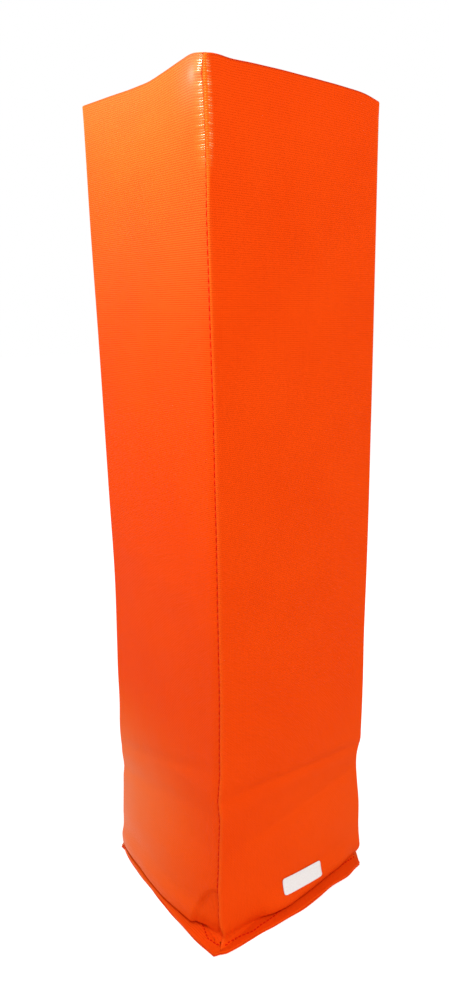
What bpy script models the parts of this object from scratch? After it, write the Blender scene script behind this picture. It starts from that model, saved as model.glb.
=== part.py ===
"""Football end zone pylon: a square cover of vinyl-coated cloth over a foam core, with a sand bag in its base.

Frame: metres, +Z up. The origin lies on the floor under the pylon's middle. The front face looks along -Y.
The pieces are first laid out in a straight-cut square prism, and stuffed() then swells, pinches and dips it
the way the filling and the seams do, so that neighbouring pieces keep their clearance.
"""

import math

import bmesh
import bpy

# The stuffed cover.
HEIGHT = 0.4572  # 18 inches, to the tips of the top corners
WIDTH = 0.1102  # over the flat faces, 4 inches of cut cloth let out by the filling
CLOTH = 0.0007  # vinyl-coated polyester
GAP = 0.0003  # clearance where two pieces touch
SEAM_ALLOWANCE = 0.010  # cloth turned inside along each seam
TURN_RADIUS = 0.00085  # outside of a single layer's turn

# How each side panel ends at its left and right corner, seen from outside. At every corner one panel wraps the
# corner in a hairpin fold, and its neighbour turns in beside the fold. The front and back panels are symmetric.
PANEL_ENDS = {
    "front_panel": ("fold", "fold"),
    "right_panel": ("turn", "fold"),
    "back_panel": ("turn", "turn"),
    "left_panel": ("fold", "turn"),
}
SIDES = len(PANEL_ENDS)

# The bottom seam, whose two layers stand out as a flange.
FLANGE_WIDTH = 0.0110  # out from the seam line at mid-face
FLANGE_DRAWN_IN = 0.0020  # less of it at the corners
FOOT_RADIUS = 0.0008  # bend of the wall into the flange
FOOT_IN = 0.0010  # how far the seam line draws the wall in
FOOT_HEIGHT = 0.012  # where the wall is back at full width

# The form that the filling gives.
BELLY_HEIGHT = 0.024  # fullest part over the sand
BELLY_CROWN = 0.0026
PINCH_HEIGHT = 0.069  # where the foam sits on the sand bag
PINCH_IN = 0.0026
PINCH_REACH = 0.018  # above and below, to full width
FACE_CROWN = 0.0010  # of each face along the foam
TOP_DIP = 0.0022  # of the top edges between the corner tips
TOP_DOME = 0.0016  # of the top panel over its edges
TOP_EASE = 0.030  # height over which the top's form fades out

# Threads.
THREAD_RADIUS = 0.00025
THREAD_SUNK = 0.0001  # its middle, below the surface of the cloth
THREAD_END = 0.006  # from a corner seam's thread to the top and to the floor
BOTTOM_STITCH_OUT = 0.0030  # of the bottom stitch line from the wall

# The filling.
RELIEF_RAMP = 0.002  # over which the foam is pressed in beside an allowance
BAG_CLOTH = 0.0004
FOAM_BELOW_PINCH = 0.0018  # the foam's lower edge, under the narrowest place
BAG_SHOULDER = 0.003
MOUTH_LENGTH = 0.060
MOUTH_WIDTH = 0.0012
MOUTH_STITCHES = 12
MOUTH_STITCH_WIDTH = 0.004
MOUTH_THREAD_RADIUS = 0.0003

# The bare label on the front face.
LABEL_WIDTH = 0.0300
LABEL_HEIGHT = 0.0098
LABEL_THICKNESS = 0.0002
LABEL_X = 0.0045  # its middle
LABEL_Z = 0.0165
LABEL_TILT = math.radians(-5)  # it was stuck on slightly askew
LABEL_CORNER = 0.0012
LABEL_CELLS = (6, 3)

# Shares of half the width, from the middle, at which each face has a line of points.
WIDTH_SHARES = (-0.75, -0.5, -0.25, 0, 0.25, 0.5, 0.75)
CAP_SHARES = (0.8, 0.4)

HALF = WIDTH / 2
FOLD = 2 * CLOTH + GAP  # across two layers that lie on each other
FOLD_RADIUS = (CLOTH + GAP) / 2  # of a hairpin fold, at the middle of the cloth
ALLOWANCES = 3 * (CLOTH + GAP)  # a wall with both seam allowances behind it
FLANGE_MID = 1.5 * CLOTH + GAP  # middle of the walls' flange strips over the bottom panel
FOLD_START = HALF - FOLD / 2  # where the wall ends and its hairpin fold starts
TURN_FACE = HALF - FOLD - GAP  # outside of a layer that turns in beside the hairpin
TURN_START = TURN_FACE - TURN_RADIUS
GROOVE = HALF - FOLD - GAP / 2  # middle of the groove between the two panels
CLIP_HEIGHT = HEIGHT - SEAM_ALLOWANCE - GAP  # the corner allowances are clipped off above this
WALL_TOP = HEIGHT - FOLD / 2
WALL_FOOT = FLANGE_MID + FOOT_RADIUS
FOAM_BOTTOM = PINCH_HEIGHT - FOAM_BELOW_PINCH
BAG_TOP = FOAM_BOTTOM - 2 * (GAP + MOUTH_THREAD_RADIUS)


def spread(low, high, count):
    """Heights between low and high, without either end."""
    return [low + (high - low) * i / (count + 1) for i in range(1, count + 1)]


BASE_HEIGHTS = [
    WALL_FOOT,
    *spread(WALL_FOOT, BELLY_HEIGHT, 2),
    BELLY_HEIGHT,
    *spread(BELLY_HEIGHT, PINCH_HEIGHT, 3),
    PINCH_HEIGHT,
]
CORE_HEIGHTS = [
    *spread(PINCH_HEIGHT, PINCH_HEIGHT + PINCH_REACH, 2),
    PINCH_HEIGHT + PINCH_REACH,
    PINCH_HEIGHT + 2 * PINCH_REACH,
    HEIGHT - TOP_EASE,
    HEIGHT - TOP_EASE / 2 - SEAM_ALLOWANCE / 2,
]
HEIGHTS = [*BASE_HEIGHTS, *CORE_HEIGHTS]


def eased(low, high, value):
    """A smooth step from 0 at low to 1 at high."""
    share = min(max((value - low) / (high - low), 0), 1)
    return share * share * (3 - 2 * share)


def edge_growth(z):
    """How far the filling moves the corner edges out, at height z."""
    foot = -FOOT_IN * (1 - eased(0, FOOT_HEIGHT, z))
    below = eased(PINCH_HEIGHT - PINCH_REACH, PINCH_HEIGHT, z)
    above = eased(PINCH_HEIGHT, PINCH_HEIGHT + PINCH_REACH, z)
    return foot - PINCH_IN * below * (1 - above)


def crown(z):
    """How far the middle of a face stands out past its corner edges, at height z."""
    belly = eased(0, BELLY_HEIGHT, z) * (1 - eased(BELLY_HEIGHT, PINCH_HEIGHT, z))
    start = eased(PINCH_HEIGHT, PINCH_HEIGHT + 2 * PINCH_REACH, z)
    face = start * (1 - eased(HEIGHT - TOP_EASE, HEIGHT, z))
    return BELLY_CROWN * belly + FACE_CROWN * face


def stuffed(x, y, z):
    """Where a point of the straight-cut pylon lies once it is stuffed."""
    across = x / HALF
    along = y / HALF
    grown = 1 + edge_growth(z) / HALF
    swell = crown(z)
    dip = TOP_DIP * (1 - across**2 * along**2)
    dome = TOP_DOME * (1 - across**2) * (1 - along**2)
    top = eased(HEIGHT - TOP_EASE, HEIGHT, z)
    return (
        x * grown + swell * (1 - along**2) * across**3,
        y * grown + swell * (1 - across**2) * along**3,
        z + (dome - dip) * top,
    )


def turned(x, y, quarter_turns):
    """The point (x, y) turned about the pylon's axis."""
    for _ in range(quarter_turns % SIDES):
        x, y = -y, x
    return x, y


def material(name, colour, roughness):
    made = bpy.data.materials.new(name)
    made.use_nodes = True
    shader = made.node_tree.nodes["Principled BSDF"]
    shader.inputs["Base Color"].default_value = (*colour, 1)
    shader.inputs["Roughness"].default_value = roughness
    shader.inputs["Metallic"].default_value = 0
    made.diffuse_color = (*colour, 1)
    return made


def mesh_object(name, bm, finish, smooth_angle=40):
    """An object of the pylon made from bm, shaded smooth."""
    bmesh.ops.recalc_face_normals(bm, faces=bm.faces)
    mesh = bpy.data.meshes.new(name)
    bm.to_mesh(mesh)
    bm.free()
    mesh.shade_smooth()
    mesh.set_sharp_from_angle(angle=math.radians(smooth_angle))
    return placed(name, mesh, finish)


def placed(name, data, finish):
    """An object of the pylon, parented to the pylon's empty."""
    made = bpy.data.objects.new(name, data)
    data.materials.append(finish)
    made.parent = pylon
    parts.objects.link(made)
    return made


def solidify(piece, thickness, offset=0):
    wall = piece.modifiers.new("cloth_thickness", "SOLIDIFY")
    wall.thickness = thickness
    wall.offset = offset
    wall.use_even_offset = True


def folded_grid(columns, rows, point, kept):
    """A cloth grid: point(column, row) places each crossing, and kept(i, j) says which cells are cloth."""
    bm = bmesh.new()
    bmesh.ops.create_grid(bm, x_segments=len(columns) - 1, y_segments=len(rows) - 1, size=0.5)
    cells = {}
    for face in bm.faces:
        middle = face.calc_center_median()
        i = int((middle.x + 0.5) * (len(columns) - 1))
        j = int((middle.y + 0.5) * (len(rows) - 1))
        cells[face] = (i, j)
    for vertex in bm.verts:
        i = round((vertex.co.x + 0.5) * (len(columns) - 1))
        j = round((vertex.co.y + 0.5) * (len(rows) - 1))
        vertex.co = stuffed(*point(columns[i], rows[j]))
    cut_away = [face for face, (i, j) in cells.items() if not kept(i, j)]
    bmesh.ops.delete(bm, geom=cut_away, context="FACES")
    return bm


def arc(start, end, steps):
    """Angles in radians from start to end degrees, both included."""
    return [math.radians(start + (end - start) * i / steps) for i in range(steps + 1)]


def end_columns(end):
    """The cloth's path at a side panel's right end: (x, depth behind the face, part of the panel)."""
    path = []
    if end == "fold":
        path.append((GROOVE, CLOTH / 2, "face edge"))
        for angle in arc(0, 180, 4):
            x = FOLD_START + FOLD_RADIUS * math.sin(angle)
            path.append((x, FOLD / 2 - FOLD_RADIUS * math.cos(angle), "fold"))
        path.append((HALF - SEAM_ALLOWANCE, FOLD - CLOTH / 2, "allowance"))
        return path
    for angle in arc(0, 90, 2):
        bend = TURN_RADIUS - CLOTH / 2
        x = TURN_START + bend * math.sin(angle)
        path.append((x, TURN_RADIUS - bend * math.cos(angle), "turn" if angle else "face"))
    path.append((TURN_FACE - CLOTH / 2, SEAM_ALLOWANCE, "allowance"))
    return path


def side_columns(ends):
    """The cloth's path across a side panel from its left allowance to its right one, as in end_columns."""
    left = [(-x, depth, part) for x, depth, part in end_columns(ends[0])]
    middle = [(share * HALF, CLOTH / 2, "face") for share in WIDTH_SHARES]
    return [*left[::-1], *middle, *end_columns(ends[1])]


def side_rows():
    """The cloth's path up a side panel: (height, depth added, share of the flange's mitre, part)."""
    path = [(FLANGE_MID, 0, 1, "flange")]
    for angle in arc(90, 0, 2)[:-1]:
        z = FLANGE_MID + FOOT_RADIUS * (1 - math.sin(angle))
        path.append((z, -FOOT_RADIUS * (1 - math.cos(angle)), math.sin(angle), "foot"))
    path += [(z, 0, 0, "wall") for z in HEIGHTS]
    path += [(z, 0, 0, "clipped") for z in (CLIP_HEIGHT, (CLIP_HEIGHT + WALL_TOP) / 2, WALL_TOP)]
    for angle in arc(0, 180, 4)[1:]:
        z = WALL_TOP + FOLD_RADIUS * math.sin(angle)
        path.append((z, FOLD_RADIUS * (1 - math.cos(angle)), 0, "top fold"))
    path.append((HEIGHT - SEAM_ALLOWANCE, 2 * FOLD_RADIUS, 0, "top fold"))
    return path


def side_point(column, row, ends):
    """A point of a side panel's cloth in the straight cut, on the front side."""
    x, depth, _ = column
    z, added, mitre, part = row
    face_ends = [FOLD_START if end == "fold" else TURN_START for end in ends]
    face_share = (x + face_ends[0]) / sum(face_ends) * 2 - 1
    if part == "flange":
        added = -FLANGE_WIDTH + FLANGE_DRAWN_IN * face_share**2
    reach = HALF - depth - added - GAP
    return x + (face_share * reach - x) * mitre, depth + added - HALF, z


def side_panel_mesh(ends):
    columns = side_columns(ends)
    rows = side_rows()

    def kept(i, j):
        across = {columns[i][2], columns[i + 1][2]}
        up = {rows[j][3], rows[j + 1][3]}
        if up & {"flange", "foot"}:
            return across == {"face"} or "face edge" in across
        if "top fold" in up:
            return across <= {"face edge", "face"}
        return not ("allowance" in across and up == {"clipped"})

    return folded_grid(columns, rows, lambda column, row: side_point(column, row, ends), kept)


def panel_grid_columns():
    """The cloth's path across the top panel: (place, drop below the top, whether it is a turned-in edge)."""
    edge = [(TURN_FACE - CLOTH / 2, SEAM_ALLOWANCE, True)]
    for angle in arc(90, 0, 2):
        bend = TURN_RADIUS - CLOTH / 2
        place = TURN_START + bend * math.sin(angle)
        edge.append((place, TURN_RADIUS - bend * math.cos(angle), False))
    middle = [(share * HALF, CLOTH / 2, False) for share in WIDTH_SHARES]
    return [(-place, drop, flap) for place, drop, flap in edge] + middle + edge[::-1]


def top_point(column, row):
    """A point of the top panel's cloth in the straight cut."""
    drop = column[1] + row[1] - CLOTH / 2
    return column[0], row[0], HEIGHT - drop


def top_panel_mesh():
    columns = panel_grid_columns()
    corner = len(columns) - len(WIDTH_SHARES)
    turns = corner // 2

    def in_turn(i):
        return i < turns or i >= len(columns) - 1 - turns

    def is_flap(i):
        return columns[i][2] or columns[i + 1][2]

    def kept(i, j):
        return not (is_flap(i) and in_turn(j) or is_flap(j) and in_turn(i))

    return folded_grid(columns, columns, top_point, kept)


def flange_outline(inset, z, outward):
    """Points round the base, outward(share) from the walls, less inset."""
    points = []
    for side in range(SIDES):
        for share in (-1, *WIDTH_SHARES):
            reach = HALF + outward(share) - inset
            x, y = turned(share * reach, -reach, side)
            points.append(stuffed(x, y, z))
    return points


def flange_edge(share):
    return FLANGE_WIDTH - FLANGE_DRAWN_IN * share**2


def poly_spline(curve, points, cyclic):
    spline = curve.splines.new("POLY")
    spline.points.add(len(points) - 1)
    for spot, place in zip(spline.points, points):
        spot.co = (*place, 1)
    spline.use_cyclic_u = cyclic


def tube(name, points, radius, finish, cyclic=False):
    """A thread along points."""
    curve = bpy.data.curves.new(name, "CURVE")
    curve.dimensions = "3D"
    curve.bevel_depth = radius
    curve.bevel_resolution = 1
    curve.use_fill_caps = not cyclic
    poly_spline(curve, points, cyclic)
    placed(name, curve, finish)


def section(z, inset=0, clear=CLOTH + GAP):
    """A ring inside the cover at height z: clear of the faces and of the allowances, less an even inset."""
    points = []
    depth = clear + inset
    seam_depth = ALLOWANCES + inset
    relief = HALF - SEAM_ALLOWANCE - GAP - inset * math.tan(math.radians(22.5))
    folded_end = [(relief - RELIEF_RAMP, depth), (relief, seam_depth), (HALF - depth, seam_depth)]
    for side, ends in enumerate(PANEL_ENDS.values()):
        across = [(share * HALF, depth) for share in WIDTH_SHARES]
        if ends[0] == "fold":
            across[:1] = [(-x, behind) for x, behind in folded_end[::-1]]
        if ends[1] == "fold":
            across[-1:] = folded_end
        points += [(*turned(x, behind - HALF, side), z) for x, behind in across]
    return points


def shrunk(ring, share_x, share_y, z):
    return [(x * share_x, y * share_y, z) for x, y, _ in ring]


def loft(name, rings, finish, closed_top):
    """A filling's form through rings of equal count, with a face across the first one and the last."""
    bm = bmesh.new()
    loops = [[bm.verts.new(stuffed(*point)) for point in ring] for ring in rings]
    for below, above in zip(loops, loops[1:]):
        for i in range(len(below)):
            j = (i + 1) % len(below)
            bm.faces.new((below[i], below[j], above[j], above[i]))
    bm.faces.new(loops[0][::-1])
    if closed_top:
        bm.faces.new(loops[-1])
    return mesh_object(name, bm, finish)


def capped(ring, z):
    """Rings that close a level end, from its outline inwards."""
    return [shrunk(ring, share, share, z) for share in CAP_SHARES]


def make_cover(vinyl):
    """Four side panels with a seam at every corner, a top panel, and a bottom panel sewn edge to edge."""
    for side, (name, ends) in enumerate(PANEL_ENDS.items()):
        panel = mesh_object(name, side_panel_mesh(ends), vinyl)
        panel.rotation_euler.z = math.radians(90) * side
        solidify(panel, CLOTH)
    solidify(mesh_object("top_panel", top_panel_mesh(), vinyl), CLOTH)
    outline = bpy.data.curves.new("bottom_panel", "CURVE")
    outline.dimensions = "2D"
    outline.fill_mode = "BOTH"
    outline.extrude = CLOTH / 2
    edge = flange_outline(0, CLOTH / 2, flange_edge)
    poly_spline(outline, [(x, y, 0) for x, y, _ in edge], cyclic=True)
    placed("bottom_panel", outline, vinyl).location.z = CLOTH / 2


def make_seam_threads(thread):
    """One thread down each corner seam, one round the top seam and one round the flange."""
    heights = [THREAD_END, *(z for z in HEIGHTS if z > THREAD_END), CLIP_HEIGHT, HEIGHT - THREAD_END]
    sunk = HALF - THREAD_SUNK
    grooves = {
        "front_left": (-sunk, -GROOVE),
        "front_right": (sunk, -GROOVE),
        "back_right": (GROOVE, sunk),
        "back_left": (-GROOVE, sunk),
    }
    for corner, groove in grooves.items():
        seam = [stuffed(*groove, z) for z in heights]
        tube(f"{corner}_seam_thread", seam, THREAD_RADIUS, thread)
    inside = flange_outline(HALF - GROOVE, HEIGHT - THREAD_SUNK, lambda share: 0)
    tube("top_seam_thread", inside, THREAD_RADIUS, thread, cyclic=True)
    height = FLANGE_MID + CLOTH / 2 + GAP + THREAD_RADIUS
    outside = flange_outline(0, height, lambda share: BOTTOM_STITCH_OUT)
    tube("bottom_seam_thread", outside, THREAD_RADIUS, thread, cyclic=True)


def make_foam_core(foam):
    """A foam block, pressed in where the seam allowances lie against it."""
    top = HEIGHT - CLOTH - GAP
    ledge = HEIGHT - SEAM_ALLOWANCE - GAP
    heights = [FOAM_BOTTOM, PINCH_HEIGHT, *CORE_HEIGHTS]
    rings = [section(z) for z in heights]
    rings += [section(z, clear=ALLOWANCES) for z in (ledge, top)]
    rings = [*capped(rings[0], FOAM_BOTTOM)[::-1], *rings, *capped(rings[-1], top)]
    loft("foam_core", rings, foam, closed_top=True)


def make_sand_bag(sack, sand, thread):
    """A sack that fills the base, its mouth whipped shut, and the sand in it."""
    floor = CLOTH + GAP
    heights = [z for z in BASE_HEIGHTS if FOOT_HEIGHT / 2 < z < BAG_TOP - BAG_SHOULDER]

    def levels(inset, low, high, shoulder):
        sides = [section(z, inset) for z in (low + shoulder, *heights, high - shoulder)]
        return [section(low, inset + shoulder), *sides, section(high, inset + shoulder)]

    outer = levels(0, floor, BAG_TOP, BAG_SHOULDER)
    mouth = shrunk(outer[-1], MOUTH_LENGTH / WIDTH, MOUTH_WIDTH / WIDTH, BAG_TOP)
    bag = loft("sand_bag", [*outer, mouth], sack, closed_top=False)
    solidify(bag, BAG_CLOTH, offset=-1)

    lining = BAG_CLOTH + GAP
    fill = levels(lining, floor + lining, BAG_TOP - lining, BAG_SHOULDER)
    fill = [*capped(fill[0], floor + lining)[::-1], *fill, *capped(fill[-1], BAG_TOP - lining)]
    loft("sand_fill", fill, sand, closed_top=True)

    height = BAG_TOP + GAP + MOUTH_THREAD_RADIUS
    stitches = []
    for i in range(MOUTH_STITCHES + 1):
        x = MOUTH_LENGTH * (i / MOUTH_STITCHES - 0.5)
        y = MOUTH_STITCH_WIDTH / 2 * (-1) ** i
        stitches.append(stuffed(x, y, height))
    tube("sand_bag_thread", stitches, MOUTH_THREAD_RADIUS, thread)


def make_label(white):
    """A bare white label stuck to the front face, low down."""
    columns = [LABEL_WIDTH * (i / LABEL_CELLS[0] - 0.5) for i in range(LABEL_CELLS[0] + 1)]
    rows = [LABEL_HEIGHT * (j / LABEL_CELLS[1] - 0.5) for j in range(LABEL_CELLS[1] + 1)]
    depth = GAP + LABEL_THICKNESS / 2
    cut = LABEL_CORNER * (1 - math.sqrt(0.5))
    cosine = math.cos(LABEL_TILT)
    sine = math.sin(LABEL_TILT)

    def point(x, z):
        if x in (columns[0], columns[-1]) and z in (rows[0], rows[-1]):
            x -= math.copysign(cut, x)
            z -= math.copysign(cut, z)
        return LABEL_X + x * cosine - z * sine, -depth - HALF, LABEL_Z + x * sine + z * cosine

    bm = folded_grid(columns, rows, point, lambda i, j: True)
    solidify(mesh_object("blank_label", bm, white), LABEL_THICKNESS)


for old in list(bpy.data.objects):
    bpy.data.objects.remove(old, do_unlink=True)
parts = bpy.data.collections.new("football_end_zone_pylon")
bpy.context.scene.collection.children.link(parts)
pylon = bpy.data.objects.new("pylon", None)
parts.objects.link(pylon)

seam_thread = material("orange_thread", (0.50, 0.07, 0.03), 0.6)
make_cover(material("orange_vinyl", (0.86, 0.08, 0.01), 0.35))
make_seam_threads(seam_thread)
make_foam_core(material("foam", (0.80, 0.77, 0.68), 0.9))
make_sand_bag(
    material("sack_cloth", (0.72, 0.70, 0.64), 0.8),
    material("sand", (0.60, 0.45, 0.28), 0.95),
    material("white_thread", (0.85, 0.84, 0.80), 0.6),
)
make_label(material("white_label", (0.90, 0.90, 0.88), 0.4))
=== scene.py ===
"""The looks of a football end zone pylon: its sewn cover, stitches and label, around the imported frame."""

import math

import bmesh
import bpy
import numpy as np
from mathutils import Matrix, Vector


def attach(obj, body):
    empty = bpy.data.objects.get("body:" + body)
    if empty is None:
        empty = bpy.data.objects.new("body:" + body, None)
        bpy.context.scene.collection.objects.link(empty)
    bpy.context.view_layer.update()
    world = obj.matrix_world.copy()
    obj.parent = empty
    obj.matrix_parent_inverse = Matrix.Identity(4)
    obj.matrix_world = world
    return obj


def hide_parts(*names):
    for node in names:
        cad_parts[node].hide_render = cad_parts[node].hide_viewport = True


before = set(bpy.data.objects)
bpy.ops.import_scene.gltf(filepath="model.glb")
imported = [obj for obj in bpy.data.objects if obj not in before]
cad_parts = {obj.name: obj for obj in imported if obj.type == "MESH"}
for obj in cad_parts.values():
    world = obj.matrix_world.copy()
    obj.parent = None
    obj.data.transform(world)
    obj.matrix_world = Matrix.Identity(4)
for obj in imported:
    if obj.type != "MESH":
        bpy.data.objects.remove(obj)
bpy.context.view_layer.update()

# Camera, floor and lights
# The camera stands a little lower than the pylon's top and looks down at its front left corner. The floor
# and the backdrop are plain white. Four soft lamps and the white room light the pylon.
IMAGE_SIZE = (449, 1000)
FOCAL_PIXELS = 755.3
IMAGE_CENTRE = (280.6, 498.3)
CAMERA_PLACE = (-0.2639, -0.3459, 0.3494)
CAMERA_HEADING = math.radians(40.895)  # from +Y towards +X
CAMERA_DOWN = math.radians(13.700)
CAMERA_ROLL = math.radians(0.139)
SENSOR = 36.0


def placed(name, data):
    """A new object of the scene."""
    made = bpy.data.objects.new(name, data)
    bpy.context.scene.collection.objects.link(made)
    return made


lens = bpy.data.cameras.new("photo_camera")
lens.sensor_width = SENSOR
lens.lens = FOCAL_PIXELS / IMAGE_SIZE[1] * SENSOR
lens.shift_x = (IMAGE_SIZE[0] / 2 - IMAGE_CENTRE[0]) / IMAGE_SIZE[1]
lens.shift_y = (IMAGE_CENTRE[1] - IMAGE_SIZE[1] / 2) / IMAGE_SIZE[1]
lens.clip_start = 0.01
camera = placed("photo_camera", lens)
aim = Matrix.Rotation(-CAMERA_HEADING, 4, "Z") @ Matrix.Rotation(math.pi / 2 - CAMERA_DOWN, 4, "X")
camera.matrix_world = Matrix.Translation(CAMERA_PLACE) @ aim @ Matrix.Rotation(-CAMERA_ROLL, 4, "Z")
bpy.context.scene.camera = camera
bpy.context.scene.view_settings.view_transform = "Standard"


def feed(tree, socket, value):
    """Links an input to another node's output, or sets it to a value."""
    if isinstance(value, bpy.types.NodeSocket):
        tree.links.new(value, socket)
    else:
        socket.default_value = value


def add_node(tree, kind, *values, **named):
    """A new node, its inputs given in their order or by name. None leaves an input alone."""
    node = tree.nodes.new(kind)
    given = [*enumerate(values), *((name.replace("_", " "), value) for name, value in named.items())]
    for key, value in given:
        if value is not None:
            feed(tree, node.inputs[key], value)
    return node


def new_material(name):
    """A material with an empty node tree."""
    made = bpy.data.materials.new(name)
    made.use_nodes = True
    made.node_tree.nodes.clear()
    return made, made.node_tree


FLOOR_SIZE = 12.0
FLOOR_WHITE = (0.90, 0.90, 0.90, 1)
FLOOR_LIFT = 0.42  # added for the camera alone, so that the bare floor is white and keeps its shadow

bpy.ops.mesh.primitive_plane_add(size=FLOOR_SIZE)
floor = bpy.context.object
floor.name = "white_floor"
paper, tree = new_material("white_paper")
path = add_node(tree, "ShaderNodeLightPath")
lift = add_node(tree, "ShaderNodeMath", path.outputs["Is Camera Ray"], FLOOR_LIFT)
lift.operation = "MULTIPLY"
plain = add_node(tree, "ShaderNodeBsdfDiffuse", Color=FLOOR_WHITE)
glow = add_node(tree, "ShaderNodeEmission", Strength=lift.outputs[0])
both = add_node(tree, "ShaderNodeAddShader", plain.outputs[0], glow.outputs[0])
add_node(tree, "ShaderNodeOutputMaterial", Surface=both.outputs[0])
floor.data.materials.append(paper)

ROOM_LIGHT = 0.66

room = bpy.data.worlds.new("white_room")
room.use_nodes = True
tree = room.node_tree
tree.nodes.clear()
path = add_node(tree, "ShaderNodeLightPath")
shown = add_node(tree, "ShaderNodeMapRange", path.outputs["Is Camera Ray"], To_Min=ROOM_LIGHT)
walls = add_node(tree, "ShaderNodeBackground", Color=(1, 1, 1, 1), Strength=shown.outputs[0])
add_node(tree, "ShaderNodeOutputWorld", Surface=walls.outputs[0])
bpy.context.scene.world = room

LAMPS = (  # name, place, the point it is aimed at, size and watts
    ("top_left_lamp", (-0.225, 0.005, 0.55), (-0.055, 0.005, 0.55), 0.08, 1.72),
    ("camera_lamp", (-0.42, -0.80, 1.25), (0, 0, 0.20), 0.14, 7.6),
    ("fill_lamp", (0.60, -1.50, 0.70), (0, 0, 0.24), 0.6, 3.1),
    ("back_left_lamp", (-0.52, 0.62, 0.14), (-0.055, 0.02, 0.12), 0.22, 0.86),
)
for name, place, target, size, watts in LAMPS:
    lamp = bpy.data.lights.new(name, "AREA")
    lamp.shape = "SQUARE"
    lamp.size = size
    lamp.energy = watts
    holder = placed(name, lamp)
    holder.location = place
    holder.visible_camera = False
    holder.rotation_euler = (Vector(target) - Vector(place)).to_track_quat("-Z", "Y").to_euler()

# Side panels of the cover
# Four panels of vinyl-coated polyester, sewn inside out and turned. At each corner one panel wraps round in
# a hairpin fold, with both allowances behind it, and its neighbour turns in beside the fold. Each panel folds
# in at the top, and turns out at the floor into the flange of the bottom seam.
SIDES = ("front", "right", "back", "left")  # a quarter turn apart, as are the corners at their left ends
PANEL_ENDS = (("fold", "fold"), ("turn", "fold"), ("turn", "turn"), ("fold", "turn"))
HEIGHT = 0.4572
HALF = 0.0551  # half the width over two flat faces
CLOTH = 0.0007
GAP = 0.0003
ALLOWANCE = 0.0100
FOLD_RADIUS = 0.00085  # outside of the hairpin that wraps a corner
FOLD_SWELL = (0.00095, 0.00040, 0.00040, 0.00040)  # added to it near the top of each corner
SWELL_HEIGHTS = (0.385, 0.440, 0.448, 0.457)  # it starts, is full, shrinks and ends
SWELL_SHRINK = 0.6  # the share of it that is lost by the end
TURN_RADIUS = 0.0011
FOLD_FLAT = 0.13  # how much its thick top is flattened where it faces outwards
FLAT_PART = 2.6  # the flattened stretch is the fold's half turn divided by this
TURN_DROP = (0.0009, 0.0006, 0.0006, 0.0006)  # how far the cloth rolls off towards the turn beside the fold
TURN_REACH = 0.0060
TOP_RADIUS = 0.00085
FOOT_RADIUS = 0.0005  # bend of the wall into the flange
FOOT_SOFT = (0.0040, 0.0012, 0.0012, 0.0012)  # added to it towards each corner
FOOT_REACH = 0.016
CORNER_POWER = 8  # how closely the foot's flare keeps to the corners, and the edge's waves keep off them
STRIP_MID = 1.5 * CLOTH + GAP  # middle of the walls' flange strips, over the bottom panel
WALL_FOOT = STRIP_MID + FOOT_RADIUS
WALL_TOP = HEIGHT - TOP_RADIUS

# Where each corner stands off a straight post, towards the camera's right, at heights up from the floor.
LEAN = (math.sin(math.radians(49.1)), -math.cos(math.radians(49.1)))
CORNER_LEAN_MM = (
    ((0, -1.2), (1.5, -1.2), (4.4, -0.4), (7.2, -0.3), (10.6, -1), (15, -1.75), (20, -2), (26, -1.95),
     (31, -2), (36, -2.1), (40, -1.9), (47, -1.5), (55, -1.15), (63, -0.9), (68, -0.7), (76, -0.25),
     (83, -0.2), (88, -0.5), (93, -0.65), (98, -0.3), (111, 0.5), (125, 0.8), (153, 1.45), (185, 1.55),
     (210, 1.65), (241, 1.8), (265, 1.7), (300, 1.72), (330, 1.4), (343, 1.25), (365, 1.1), (395, 0.95),
     (412, 1.35), (428, 1.6), (457, 1)),
    ((0, -2.3), (2.7, -2.2), (8.5, 1), (14, 0.6), (20, 0), (26, -0.3), (44, -0.5), (56, -1.45),
     (68, -2.2), (77, -2.2), (86, -0.3), (96, 0), (112, 0.3), (135, 0.45), (155, 0.35), (175, 0.55),
     (195, 0.85), (300, 1.3), (400, 1.25), (457, 1.4)),
    ((0, 0), (30, -0.3), (50, -1.2), (66, -2.2), (82, -1), (100, -0.2), (200, 1), (300, 0.8),
     (457, -0.3)),
    ((0, -1.2), (5, -2.4), (11, -2.35), (17, -1.1), (30, -0.45), (48, 0.4), (56, 0.7), (63, 1.25),
     (74, 0.4), (87, 0), (110, 0.8), (130, 0.9), (150, 1.4), (190, 2.3), (247, 1.7), (335, 0.8),
     (400, -0.2), (457, -0.7)),
)
CORNER_DRAWN_IN = (0.0022, 0.0010, 0.0010, 0.0006)  # at the floor, along the diagonal
DRAWN_HEIGHT = 0.014
# How far each face's top edge lies above the straight cut, at shares across the face, seen from outside.
TOP_EDGE_MM = (
    ((-1, 0.3), (-0.94, 1), (-0.88, 1.2), (-0.75, 0.9), (-0.55, 1.35), (0, 1.9), (0.5, 1.8), (0.8, 1.1),
     (1, -1)),
    ((-1, -1), (-0.6, 0.4), (0, 0.9), (0.5, 0.4), (1, 0)),
    ((-1, 0), (-0.5, -0.7), (0.1, -1.2), (0.6, -0.5), (1, 0.2)),
    ((-1, 0.2), (-0.5, -0.7), (0, -1.6), (0.15, -1.6), (0.4, -0.2), (0.65, 1.6), (0.82, 2.3), (0.92, 1.4),
     (1, 0.2)),
)
TOP_HEIGHTS = (HEIGHT - 0.030, HEIGHT)  # over which the top edge's shape takes hold
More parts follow.
